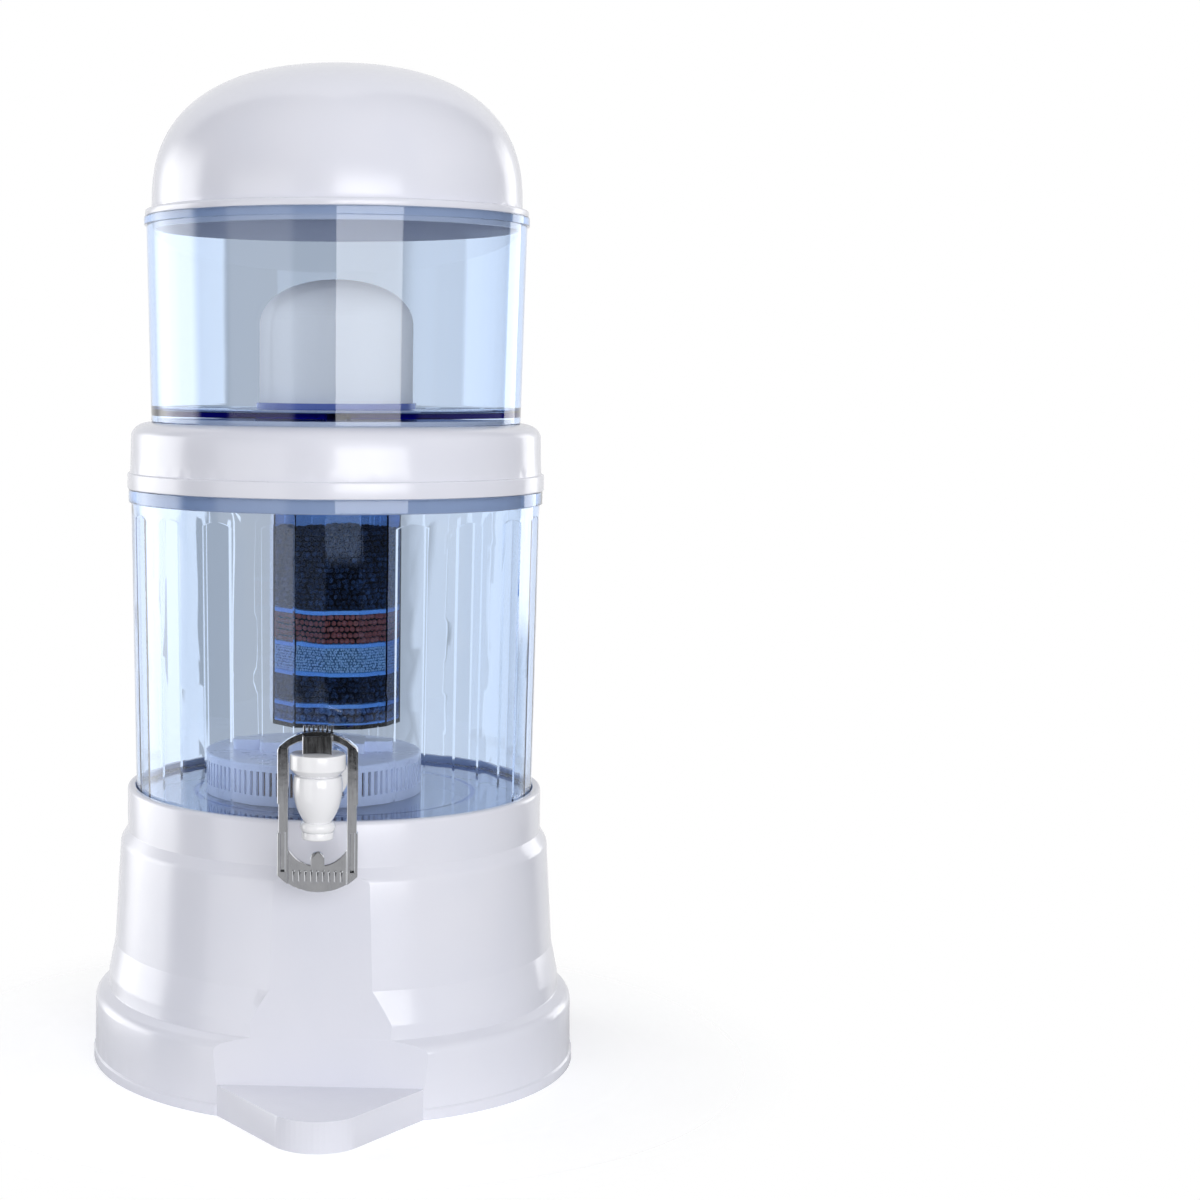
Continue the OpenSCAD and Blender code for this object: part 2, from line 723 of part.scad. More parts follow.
// Open coil swept as one tube, from the seal's shoulder to the cap
module tap_spring() {
  sides = 6;
  rings = spring_turns * 12;
  low = tap_z - seal_top + wire_r;
  rise = spring_top_z - low - wire_r;
  points = [for (i = [0:rings]) let (a = 360 * spring_turns * i / rings, z = low + rise * i / rings)
    for (k = [0:sides - 1]) let (b = 360 * k / sides, r = spring_r + wire_r * cos(b))
      [r * cos(a), valve_y + r * sin(a), z + wire_r * sin(b)]];
  walls = [for (i = [0:rings - 1]) for (k = [0:sides - 1]) let (n = (k + 1) % sides)
    [i * sides + k, i * sides + n, (i + 1) * sides + n, (i + 1) * sides + k]];
  ends = [[for (k = [sides - 1:-1:0]) k], [for (k = [0:sides - 1]) rings * sides + k]];
  color("silver") polyhedron(points, concat(walls, ends));
}

// Arc of radius r that passes through the point [0, top], between two x of a side, from right to left
function arch_points(r, top, reach, steps = 12) =
  let (a = asin(reach / r))
  [for (k = [0:steps]) let (t = a - 2 * a * k / steps) [r * sin(t), top - r + r * cos(t), 0]];

// Height of that arc at an x
function arch_at(r, top, x) = top - r + sqrt(r * r - x * x);

// Outline of the lever seen from the front, about the pin
function lever_outline() = rounded(concat(
  [[lever_half_w, arch_at(lever_arch_r, arch_rise, lever_half_w), 4]],
  arch_points(lever_arch_r, arch_rise, lever_half_w - 5),
  [[-lever_half_w, arch_at(lever_arch_r, arch_rise, lever_half_w), 4],
    [-lever_half_w, -arch_at(lever_end_r, lever_end, lever_half_w), 1.5]],
  [for (p = arch_points(lever_end_r, lever_end, lever_half_w - 3)) [-p[0], -p[1], 0]],
  [[lever_half_w, -arch_at(lever_end_r, lever_end, lever_half_w), 1.5]]), 8);

// The lever's window, with its round bottom and the tongue that stands up in it
module lever_window() {
  low = -lever_drop + 15.8;
  window_r = 19;
  side_low = low + window_r - sqrt(window_r * window_r - lever_in_r * lever_in_r);
  arc_a = asin(lever_in_r / window_r);
  tongue_r = 4;
  tongue_top = low + 8.2;
  in_top = arch_rise - lever_arch_t;
  difference() {
    polygon(concat(
      [for (k = [0:12]) let (a = -arc_a + 2 * arc_a * k / 12) [window_r * sin(a), low + window_r * (1 - cos(a))]],
      rounded(concat([[lever_in_r, side_low + 1, 0], [lever_in_r, arch_at(lever_arch_r, in_top, lever_in_r), 2]],
        arch_points(lever_arch_r, in_top, lever_in_r - 4),
        [[-lever_in_r, arch_at(lever_arch_r, in_top, lever_in_r), 2], [-lever_in_r, side_low + 1, 0]]))));
    translate([0, tongue_top - tongue_r]) circle(r = tongue_r);
    translate([-tongue_r, low - past]) square([2 * tongue_r, tongue_top - tongue_r - low + past]);
  }
}

// The lever's flat outline stood up on its pin's axis, from one y to another behind the pin
module stand_lever(y0, y1) {
  translate([0, valve_y + y1, pin_z]) rotate([90, 0, 0]) linear_extrude(y1 - y0) children();
}

module lever() {
  front = lever_back - rail_d / 2;
  rear = lever_back + rail_d / 2;
  rail_x = (lever_in_r + lever_half_w) / 2;
  groove_w = rail_w * 0.36;
  jog = 0.7;
  jog_low = -lever_drop + 35.2;
  jog_h = 16.3;
  groove_low = 13;
  rib_pitch = 2.6;
  rib_count = 7;
  color("silver") difference() {
    union() {
      stand_lever(front, rear) difference() {
        polygon(lever_outline());
        lever_window();
        translate([-lever_in_r, -lever_drop - 10]) square([2 * lever_in_r, 40]);
        for (s = [-1, 1]) translate([s * lever_half_w - jog, jog_low]) square([2 * jog, jog_h]);
      }
      stand_lever(lever_back - plate_t / 2, lever_back + plate_t / 2) difference() {
        polygon(lever_outline());
        lever_window();
        translate([-lever_half_w - past, -lever_drop + 34]) square([2 * lever_half_w + 2 * past, 200]);
      }
      translate([-block_w / 2, valve_y - cam_r, cap_top_z + block_gap])
        cube([block_w, 2 * cam_r, pin_rise - block_gap + block_rise]);
      stand_lever(rear - 3, rear) for (i = [0:rib_count - 1])
        translate([(i - (rib_count - 1) / 2) * rib_pitch - 0.7, arch_rise - 1.6]) square([1.4, 4.4]);
    }
    translate([-tang_slot_half_w, valve_y - tang_slot_half_d, cap_top_z - past])
      cube([2 * tang_slot_half_w, 2 * tang_slot_half_d, pin_rise + tang_slot_rise + past]);
    translate([-block_w, valve_y, pin_z]) rotate([0, 90, 0]) cylinder(r = pin_r + screw_gap, h = 2 * block_w);
    for (s = [-1, 1])
      translate([s * rail_x - groove_w / 2, valve_y + front - past, pin_z - lever_drop + groove_low])
        cube([groove_w, past + 1.6, jog_low + lever_drop - groove_low]);
  }
}

module lever_pin() {
  color("silver") translate([-block_w / 2 + 0.4, valve_y, pin_z]) rotate([0, 90, 0])
    cylinder(r = pin_r, h = block_w - 0.8);
}

module at_case() {
  translate([-case_left, 0, tank_floor_z]) children();
}

module stone_case_body() {
  color("lavender") at_case() difference() {
    cylinder(r = case_r, h = case_h);
    translate([0, 0, case_wall]) cylinder(r = case_r - case_wall, h = case_h);
    for (i = [0:slot_count - 1]) rotate([0, 0, 360 * i / slot_count])
      translate([case_r - case_wall - past, -slot_w / 2, slot_up])
        cube([case_wall + 2 * past, slot_w, case_h - slot_up - slot_under]);
  }
}

// A rectangle about the origin with its corners rounded
module round_rect(w, d, r) {
  polygon(rounded([for (p = [[-1, -1], [1, -1], [1, 1], [-1, 1]]) [p[0] * w / 2, p[1] * d / 2, r]]));
}

// Flat lid with a round shoulder, a plug in the case and a bar with a broad middle to lift it by
module stone_case_lid() {
  plug_r = case_r - case_wall - 0.3;
  lid_plug_t = 1;
  color("lavender") at_case() union() {
    rotate_extrude() polygon(rounded([[0, case_h - lid_plug_t, 0], [plug_r, case_h - lid_plug_t, 0],
      [plug_r, case_h, 0], [case_r, case_h, 0], [case_r, case_h + case_lid_t, case_lid_t - 0.6],
      [0, case_h + case_lid_t, 0]]));
    translate([0, 0, case_h + case_lid_t - 0.5]) linear_extrude(grip_h + 0.5) {
      round_rect(grip_len, grip_d, 3);
      round_rect(knob_w, knob_d, 2.5);
    }
  }
}

module case_stones() {
  color("sienna") at_case() translate([0, 0, case_wall]) cylinder(r = case_r - case_wall - 1, h = case_fill);
}

function collar_outline() = rounded([
  [collar_hole_r, collar_top_z, 1],
  [collar_hole_r, collar_top_z - collar_wall - 5, 0],
  [collar_hole_r + collar_wall, collar_top_z - collar_wall - 5, 0],
  [collar_hole_r + collar_wall, collar_top_z - collar_wall, 2],
  [collar_wall_r - collar_lean - collar_wall, collar_top_z - collar_wall, shoulder_h],
  [collar_wall_r - collar_wall, tank_rim_z + collar_ring_h, 0],
  [tank_r - tank_wall - plug_gap - plug_t, tank_rim_z + 4, 1],
  [tank_r - tank_wall - plug_gap - plug_t, tank_rim_z - plug_h, 0],
  [tank_r - tank_wall - plug_gap - tank_taper / 9, tank_rim_z - plug_h, 0.8],
  [tank_r - tank_wall - plug_gap, tank_rim_z + seat_play, 0],
  [collar_r, tank_rim_z + seat_play, 0.8],
  [collar_r, tank_rim_z + collar_ring_h, 0.8],
  [collar_wall_r, tank_rim_z + collar_ring_h, 0],
  [collar_wall_r - collar_lean, collar_top_z, 0]]);

// Outer corner of the collar, cut off to leave its rounded shoulder
module collar_shoulder() {
  low_z = collar_top_z - shoulder_h;
  outer_r = collar_wall_r - 0.45 * collar_lean;
  rotate_extrude() polygon(concat(
    [for (k = [0:10]) let (a = 90 * k / 10)
      [outer_r - shoulder_w + shoulder_w * cos(a), low_z + shoulder_h * sin(a)]],
    [[outer_r - shoulder_w, collar_top_z + past], [outer_r + 3, collar_top_z + past], [outer_r + 3, low_z]]));
}

module collar() {
  rib_r = upper_foot_r - upper_wall - 0.5;
  color("ghostwhite") union() {
    difference() {
      rotate_extrude() polygon(collar_outline());
      collar_shoulder();
    }
    ring(rib_r, rib_r - 2, collar_top_z - 1, collar_top_z + 3);
  }
}

function upper_tank_outline() = rounded([
  [upper_foot_r, collar_top_z, 0.8],
  [upper_r, upper_rim_z - upper_band_h, 0],
  [upper_band_r, upper_rim_z - upper_band_h, 0.5],
  [upper_band_r, upper_rim_z, 0.5],
  [upper_r - upper_wall, upper_rim_z, 0.5],
  [upper_foot_r - upper_wall, upper_floor_z, 3],
  [outlet_hole_r, upper_floor_z, 0],
  [outlet_hole_r, boss_low_z, 0],
  [boss_r, boss_low_z, 0.6],
  [boss_r, upper_floor_low_z, 0],
  [upper_foot_r - upper_wall, upper_floor_low_z, 0],
  [upper_foot_r - upper_wall, collar_top_z, 0]]);

module upper_tank() {
  color([0.66, 0.82, 0.95, 0.45]) rotate_extrude() polygon(upper_tank_outline());
}

// Straight-sided dome, drawn in by inset
function ceramic_outline(inset, low) =
  concat([[0, low], [ceramic_r - inset, low]],
    dome_curve(ceramic_r - inset, ceramic_crown - inset, ceramic_power, ceramic_z + ceramic_h - ceramic_crown, 18));

module ceramic_dome() {
  color("ivory") difference() {
    rotate_extrude() polygon(ceramic_outline(0, ceramic_z));
    rotate_extrude() polygon(ceramic_outline(ceramic_wall, ceramic_z - past));
  }
}

// Tray under the ceramic dome, with the outlet stem that goes through the tank's floor
module ceramic_base() {
  color([0.2, 0.25, 0.6]) difference() {
    union() {
      translate([0, 0, ring_z]) cylinder(r = ring_r, h = ring_h);
      translate([0, 0, neck_top_z - outlet_depth]) cylinder(r = outlet_r, h = ring_z - neck_top_z + outlet_depth);
    }
    translate([0, 0, ceramic_z]) cylinder(r = ceramic_r + glue_gap, h = ring_h);
    translate([0, 0, neck_top_z - outlet_depth - past])
      cylinder(r = outlet_bore_r, h = ring_z - neck_top_z + outlet_depth + 4);
  }
}

module ceramic_gasket() {
  color("gainsboro") ring(ring_r - 3, outlet_hole_r, upper_floor_z, ring_z);
}

module floor_washer() {
  color("gainsboro") ring(floor_washer_r, outlet_hole_r, boss_low_z - floor_washer_t, boss_low_z);
}

// Round nut with two flat wings
module fixing_nut() {
  wing_t = 4;
  color("white") difference() {
    union() {
      translate([0, 0, nut_z]) cylinder(r = outlet_r + 6, h = nut_h);
      translate([-nut_span / 2, -wing_t / 2, nut_z]) cube([nut_span, wing_t, nut_h - 1]);
    }
    translate([0, 0, nut_z - past]) cylinder(r = outlet_r + screw_gap, h = nut_h + 2 * past);
  }
}

// A twelve-sided prism, turned as the cartridge is
module cartridge_prism(r, low, high) {
  translate([0, 0, low]) rotate([0, 0, cartridge_turn]) cylinder(r = r, h = high - low, $fn = cartridge_sides);
}

module cartridge_cap() {
  color([0.55, 0.72, 0.92, 0.6]) difference() {
    union() {
      translate([0, 0, cap_low_z]) cylinder(r = cap_r, h = cap_lap + cap_top_t);
      translate([0, 0, housing_top_z]) cylinder(r = neck_r, h = neck_top_z - housing_top_z);
    }
    cartridge_prism(cartridge_r + glue_gap, cap_low_z - past, housing_top_z);
    translate([0, 0, housing_top_z - past])
      cylinder(r = outlet_r + screw_gap, h = neck_top_z - housing_top_z + 2 * past);
  }
}

module cartridge_housing() {
  hole_r = 3;
  hole_ring_r = 20;
  color([0.55, 0.72, 0.92, 0.5]) difference() {
    cartridge_prism(cartridge_r, housing_z, housing_top_z);
    cartridge_prism(inner_r, housing_z + housing_floor_t, housing_top_z + past);
    for (i = [0:5]) rotate([0, 0, 60 * i]) translate([hole_ring_r, 0, housing_z - past])
      cylinder(r = hole_r, h = housing_floor_t + 2 * past);
  }
}

module cartridge_strainer() {
  color("white") cartridge_prism(layer_r, strainer_z, stones_z);
}

module bottom_stones() {
  color("darkslateblue") cartridge_prism(layer_r, stones_z, pad_1_z);
}

module carbon_lower() {
  color([0.06, 0.06, 0.1]) cartridge_prism(layer_r, carbon_low_z, pad_2_z);
}

module mineral_sand() {
  color("lightsteelblue") cartridge_prism(layer_r, sand_z, pad_3_z);
}

module mineral_balls() {
  color("brown") cartridge_prism(layer_r, balls_z, pad_4_z);
}

module carbon_upper() {
  color([0.06, 0.06, 0.1]) cartridge_prism(layer_r, carbon_top_z, carbon_top_z + carbon_top_h);
}

module separator(z) {
  color("cornflowerblue") cartridge_prism(layer_r, z, z + pad_t);
}

module separator_1() {
  separator(pad_1_z);
}

module separator_2() {
  separator(pad_2_z);
}

module separator_3() {
  separator(pad_3_z);
}

module separator_4() {
  separator(pad_4_z);
}

// Domed shell over a flange that rests on the rim, with a plug inside the tank
module dome_lid() {
  flange_r = upper_band_r - 0.6;
  dome_r = flange_r - dome_inset;
  plug_r = upper_r - upper_wall - plug_gap;
  steps = 28;
  outside = dome_curve(dome_r, dome_h - 3, dome_power, flange_top_z + 3, steps);
  inside = dome_curve(dome_r - lid_wall, dome_h - 3 - lid_wall, dome_power, flange_top_z + 3, steps);
  color("ghostwhite") rotate_extrude() polygon(concat(
    [[plug_r - plug_t, upper_rim_z - lid_plug_h], [plug_r - 0.3, upper_rim_z - lid_plug_h],
      [plug_r, upper_rim_z], [flange_r, upper_rim_z], [flange_r, flange_top_z - 1],
      [flange_r - 1, flange_top_z], [dome_r, flange_top_z]],
    outside, [for (i = [steps:-1:0]) inside[i]],
    [[plug_r - plug_t, flange_top_z - 1]]));
}

base_stand();
lower_tank();
tap_washer_outer();
tap_washer_inner();
tap_nut();
tap_body();
tap_cap();
tap_stem();
tap_seal();
tap_spring();
lever();
lever_pin();
stone_case_body();
stone_case_lid();
case_stones();
collar();
upper_tank();
ceramic_dome();
ceramic_base();
ceramic_gasket();
floor_washer();
fixing_nut();
cartridge_cap();
cartridge_housing();
cartridge_strainer();
bottom_stones();
carbon_lower();
mineral_sand();
mineral_balls();
carbon_upper();
separator_1();
separator_2();
separator_3();
separator_4();
dome_lid();
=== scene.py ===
"""Looks of a gravity water filter with a tap.

Materials, loose grains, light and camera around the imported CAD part. Lengths are in metres, in the
CAD part's own frame: +Z is up and the front faces -Y.
"""

import json
import math
import random

import bmesh
import bpy
import numpy as np
from mathutils import Euler, Matrix, Vector, noise

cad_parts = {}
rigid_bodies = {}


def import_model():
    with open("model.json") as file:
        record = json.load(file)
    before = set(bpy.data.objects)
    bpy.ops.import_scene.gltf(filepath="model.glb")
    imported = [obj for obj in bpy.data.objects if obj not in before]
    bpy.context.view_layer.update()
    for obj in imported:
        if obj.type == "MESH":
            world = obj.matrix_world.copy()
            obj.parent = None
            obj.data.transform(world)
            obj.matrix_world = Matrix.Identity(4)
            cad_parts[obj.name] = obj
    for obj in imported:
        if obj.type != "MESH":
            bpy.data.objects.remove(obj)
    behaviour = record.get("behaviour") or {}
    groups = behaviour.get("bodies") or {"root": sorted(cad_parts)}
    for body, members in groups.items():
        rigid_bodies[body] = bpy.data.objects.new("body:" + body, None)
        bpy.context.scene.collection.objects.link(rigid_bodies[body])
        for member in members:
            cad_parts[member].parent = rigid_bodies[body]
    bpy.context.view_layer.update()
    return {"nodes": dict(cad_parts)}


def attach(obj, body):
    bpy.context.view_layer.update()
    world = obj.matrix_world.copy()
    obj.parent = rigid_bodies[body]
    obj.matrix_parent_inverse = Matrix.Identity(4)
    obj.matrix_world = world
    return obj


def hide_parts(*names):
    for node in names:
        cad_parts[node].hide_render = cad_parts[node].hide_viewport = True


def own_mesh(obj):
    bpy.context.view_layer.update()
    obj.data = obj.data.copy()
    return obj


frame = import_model()
nodes = frame["nodes"]
scene = bpy.context.scene
MM = 0.001

# ---------------------------------------------------------------- camera

CAMERA_AZIMUTH = math.radians(3.0)
CAMERA_DISTANCE = 1.4495
CAMERA_HEIGHT = 0.4394
CAMERA_PITCH = math.radians(5.73)
CAMERA_ROLL = math.radians(0.30)
CAMERA_LENS = 68.2
CAMERA_SHIFT = 0.2208


def make_camera():
    data = bpy.data.cameras.new("camera")
    data.lens = CAMERA_LENS
    data.sensor_width = 36.0
    data.shift_x = CAMERA_SHIFT
    data.clip_start = 0.05
    data.clip_end = 30.0
    data.dof.use_dof = False
    camera = bpy.data.objects.new("camera", data)
    scene.collection.objects.link(camera)
    turn = (
        Matrix.Rotation(CAMERA_AZIMUTH, 4, "Z")
        @ Matrix.Rotation(math.pi / 2 - CAMERA_PITCH, 4, "X")
        @ Matrix.Rotation(CAMERA_ROLL, 4, "Z")
    )
    place = Vector(
        (
            math.sin(CAMERA_AZIMUTH) * CAMERA_DISTANCE,
            -math.cos(CAMERA_AZIMUTH) * CAMERA_DISTANCE,
            CAMERA_HEIGHT,
        )
    )
    camera.matrix_world = Matrix.Translation(place) @ turn
    scene.camera = camera


# ---------------------------------------------------------------- materials


class Paint:
    """A procedural material: a Principled shader and the nodes that feed it."""

    def __init__(self, name, sockets):
        self.material = bpy.data.materials.new(name)
        self.material.use_nodes = True
        self.tree = self.material.node_tree
        self.shader = self.tree.nodes["Principled BSDF"]
        self.output = self.tree.nodes["Material Output"]
        self.coords = self.tree.nodes.new("ShaderNodeTexCoord").outputs["Object"]
        self.feed(self.shader, sockets)

    def feed(self, node, inputs):
        for socket, value in inputs.items():
            if isinstance(value, bpy.types.NodeSocket):
                self.tree.links.new(value, node.inputs[socket])
            else:
                node.inputs[socket].default_value = value

    def add(self, kind, inputs=None, **settings):
        node = self.tree.nodes.new(kind)
        for key, value in settings.items():
            setattr(node, key, value)
        self.feed(node, inputs or {})
        return node

    def math(self, operation, *values):
        inputs = dict(enumerate(values))
        return self.add("ShaderNodeMath", inputs, operation=operation).outputs[0]

    def attribute(self, name):
        return self.add("ShaderNodeAttribute", attribute_name=name).outputs["Fac"]

    def stretched(self, stretch):
        if stretch is None:
            return self.coords
        inputs = {"Vector": self.coords, "Scale": stretch}
        return self.add("ShaderNodeMapping", inputs).outputs[0]

    def noise(self, scale, detail=3.0, roughness=0.5, stretch=None):
        """Smooth noise, with scale in features a metre."""
        inputs = {
            "Vector": self.stretched(stretch),
            "Scale": scale,
            "Detail": detail,
            "Roughness": roughness,
        }
        return self.add("ShaderNodeTexNoise", inputs).outputs[0]

    def span(self, value, low, high, to_low=0.0, to_high=1.0):
        """The value's range low to high, mapped to another range and held at its ends."""
        inputs = {
            "Value": value,
            "From Min": low,
            "From Max": high,
            "To Min": to_low,
            "To Max": to_high,
        }
        return self.add("ShaderNodeMapRange", inputs).outputs[0]

    def mix(self, factor, first, second):
        """A blend of two colours, each a colour or a socket."""
        inputs = {0: factor, 6: opaque(first), 7: opaque(second)}
        return self.add("ShaderNodeMix", inputs, data_type="RGBA").outputs[2]

    def sum(self, first, second, share):
        """The first value plus that share of the second."""
        return self.math("MULTIPLY_ADD", second, share, first)

    def bump(self, height, depth):
        """Relief of that height, depth metres deep."""
        inputs = {"Height": height, "Distance": depth, "Strength": 1.0}
        self.feed(self.shader, {"Normal": self.add("ShaderNodeBump", inputs).outputs[0]})


def opaque(colour):
    return colour if isinstance(colour, bpy.types.NodeSocket) else (*colour, 1.0)


def shell_plastic(name, colour, shade, roughness):
    """Glossy moulded plastic: cloudy colour, faint orange peel and uneven polish."""
    gloss = {"IOR": 1.49, "Specular IOR Level": 0.62, "Coat Weight": 0.25, "Coat Roughness": 0.08}
    paint = Paint(name, gloss)
    cloud = paint.noise(14, 4)
    polish = paint.noise(60, 5, 0.6)
    paint.feed(
        paint.shader,
        {
            "Base Color": paint.mix(paint.span(cloud, 0.35, 0.65), colour, shade),
            "Roughness": paint.span(polish, 0.3, 0.7, roughness - 0.03, roughness + 0.05),
        },
    )
    paint.bump(paint.sum(paint.noise(420, 2), paint.noise(90, 2), 1.5), 0.00003)
    return paint.material


def clear_plastic(name, tint, absorb, shadow):
    """Clear moulded plastic, deeper in colour where it is thick.

    It absorbs so much of each colour a metre, and shadow is what it lets through to the lamps.
    """
    paint = Paint(name, {"Base Color": opaque(tint), "IOR": 1.49, "Transmission Weight": 1.0})
    haze = paint.noise(30, 5, 0.65)
    paint.feed(paint.shader, {"Roughness": paint.span(haze, 0.45, 0.75, 0.0, 0.025)})
    paint.bump(paint.sum(paint.noise(28, 1), paint.noise(9, 1), 3.0), 0.00002)
    see_through = paint.add("ShaderNodeBsdfTransparent", {"Color": opaque(shadow)})
    shadow_ray = paint.add("ShaderNodeLightPath").outputs["Is Shadow Ray"]
    inputs = {0: shadow_ray, 1: paint.shader.outputs[0], 2: see_through.outputs[0]}
    mixed = paint.add("ShaderNodeMixShader", inputs)
    density = max(absorb) * 1.02
    colour = opaque([1 - a / density for a in absorb])
    volume = paint.add("ShaderNodeVolumeAbsorption", {"Color": colour, "Density": density})
    paint.feed(paint.output, {"Surface": mixed.outputs[0], "Volume": volume.outputs[0]})
    return paint.material


def metal(name, colour, shade, roughness, brushed):
    """Bare or plated metal with faint drawn lines, which brushed stretches."""
    paint = Paint(name, {"Metallic": 1.0})
    cloud = paint.noise(120, 4)
    grain = paint.noise(900, 2, stretch=brushed)
    paint.feed(
        paint.shader,
        {
            "Base Color": paint.mix(paint.span(cloud, 0.35, 0.65), colour, shade),
            "Roughness": paint.span(grain, 0.3, 0.7, roughness, roughness + 0.06),
        },
    )
    paint.bump(paint.sum(paint.noise(160, 2), grain, 0.1), 0.00001)
    return paint.material


def grainy(name, colours, roughness, scale, depth, gloss=0.5, shade=0.0):
    """A rough surface of three colours, which pits and specks vary.

    Loose grains also vary in tone, and take painted shade in the gaps between them: black mixed in,
    by up to the share shade.
    """
    low, middle, high = colours
    paint = Paint(name, {"Specular IOR Level": gloss})
    broad = paint.noise(scale * 0.25, 3)
    fine = paint.noise(scale, 4, 0.6)
    first = paint.mix(paint.span(broad, 0.35, 0.6), low, middle)
    colour = paint.mix(paint.span(fine, 0.48, 0.72), first, high)
    if shade:
        colour = paint.mix(paint.span(paint.attribute("tone"), 0.5, 0.95), colour, high)
        # Painted shade: black mixed in by how deep a point lies between the grains, behind the wall
        # and below the top
        painted_depth_shade = paint.span(paint.attribute("gap"), 0.45, 1.7, 0.0, shade)
        colour = paint.mix(painted_depth_shade, colour, (0.0, 0.0, 0.0))
    paint.feed(
        paint.shader,
        {
            "Base Color": colour,
            "Roughness": paint.span(fine, 0.3, 0.7, roughness - 0.08, roughness + 0.08),
        },
    )
    paint.bump(fine, depth)
    return paint.material


def white_shell():
    return shell_plastic("white_shell", (0.80, 0.805, 0.88), (0.775, 0.785, 0.87), 0.22)


def tap_white():
    return shell_plastic("tap_white", (0.95, 0.95, 0.965), (0.92, 0.92, 0.95), 0.14)


def clear_blue():
    return clear_plastic("clear_blue", (0.99, 0.995, 1.0), (72, 46, 13), (1.0, 1.0, 1.0))


def cartridge_clear():
    return clear_plastic("cartridge_clear", (0.97, 0.985, 1.0), (470, 310, 122), (1.5, 1.45, 1.3))


def case_lilac():
    return shell_plastic("case_lilac", (0.74, 0.78, 0.93), (0.70, 0.74, 0.90), 0.28)


def indigo_plastic():
    return shell_plastic("indigo_plastic", (0.16, 0.20, 0.48), (0.14, 0.18, 0.44), 0.2)


def ceramic():
    colours = (0.88, 0.82, 0.76), (0.91, 0.85, 0.79), (0.93, 0.88, 0.82)
    return grainy("ceramic", colours, 0.55, 2600, 0.00004)


def pad():
    colours = (0.46, 0.68, 0.90), (0.55, 0.76, 0.94), (0.66, 0.84, 0.97)
    return grainy("pad", colours, 0.8, 3200, 0.0002, gloss=0.2)


def carbon():
    colours = (0.003, 0.004, 0.007), (0.006, 0.008, 0.014), (0.13, 0.16, 0.21)
    return grainy("carbon", colours, 0.32, 1800, 0.0001, gloss=0.25, shade=0.9)


def sand():
    colours = (0.78, 0.79, 0.74), (0.92, 0.92, 0.86), (1.0, 1.0, 0.98)
    return grainy("sand", colours, 0.6, 1200, 0.0002, shade=0.65)


def clay_balls():
    colours = (0.56, 0.10, 0.055), (0.70, 0.13, 0.07), (0.92, 0.28, 0.16)
    return grainy("clay_balls", colours, 0.55, 1500, 0.0001, shade=0.95)


def blue_stones():
    colours = (0.04, 0.05, 0.08), (0.10, 0.12, 0.17), (0.34, 0.38, 0.44)
    return grainy("blue_stones", colours, 0.4, 700, 0.0002, shade=0.85)


def brown_stones():
    colours = (0.16, 0.07, 0.05), (0.24, 0.11, 0.07), (0.36, 0.20, 0.14)
    return grainy("brown_stones", colours, 0.5, 600, 0.0002, shade=0.8)


def silicone():
    colours = (0.50, 0.53, 0.58), (0.56, 0.59, 0.64), (0.62, 0.65, 0.70)
    return grainy("silicone", colours, 0.4, 900, 0.00003)


def chrome_plate():
    return metal("chrome_plate", (0.74, 0.75, 0.78), (0.68, 0.69, 0.73), 0.04, (1, 1, 0.1))


def steel():
    return metal("steel", (0.56, 0.57, 0.60), (0.48, 0.49, 0.52), 0.16, (1, 1, 0.2))


PAINTS = (
    white_shell,
    tap_white,
    clear_blue,
    cartridge_clear,
    case_lilac,
    indigo_plastic,
    ceramic,
    pad,
    carbon,
    sand,
    clay_balls,
    blue_stones,
    brown_stones,
    silicone,
    chrome_plate,
    steel,
)
MATERIALS = {make.__name__: make() for make in PAINTS}


# How far the sharp edges of a piece are rounded
ROUNDED = {
    "base_stand": 0.8 * MM,
    "collar": 0.6 * MM,
    "dome_lid": 0.6 * MM,
    "tap_body": 0.4 * MM,
    "tap_cap": 0.4 * MM,
    "lever": 0.5 * MM,
}
# Pieces whose shortest edges don't hold the rounding back
FULLY_ROUNDED = ("lever",)


WELD_REACH = 0.002 * MM
SHARP_EDGE = math.radians(30)


def dress_cad():
    """Gives each CAD node the material of its slot, and some of them rounded edges."""
    for name, node in nodes.items():
        for place in node.material_slots:
            place.material = MATERIALS[place.material.name.split(".")[0]]
    for name, width in ROUNDED.items():
        weld = nodes[name].modifiers.new("weld", "WELD")
        weld.merge_threshold = WELD_REACH
        bevel = nodes[name].modifiers.new("bevel", "BEVEL")
        bevel.width = width
        bevel.segments = 3
        bevel.limit_method = "ANGLE"
        bevel.angle_limit = SHARP_EDGE
        bevel.use_clamp_overlap = name not in FULLY_ROUNDED
        bevel.harden_normals = True


# ---------------------------------------------------------------- loose grains

# How fast the height of a heaped layer's top varies, in features a metre
RELIEF_SCALE = 38


def sphere_mesh(subdivisions):
    bm = bmesh.new()
    bmesh.ops.create_icosphere(bm, subdivisions=subdivisions, radius=1.0)
    points = np.array([v.co[:] for v in bm.verts])
    faces = np.array([[v.index for v in f.verts] for f in bm.faces])
    bm.free()
    return points, faces


def broken_lump(rng, cuts, depth):
    """A lump of about unit radius with that many flat breaks, within depth from its middle."""
    points, faces = sphere_mesh(2)
    for _ in range(cuts):
        normal = random_direction(rng)
        over = points @ normal - rng.uniform(*depth)
        points = points - np.outer(np.maximum(over, 0.0), normal)
    stretch = [rng.uniform(0.85, 1.25), rng.uniform(0.75, 1.05), rng.uniform(0.7, 0.95)]
    return points * stretch, faces


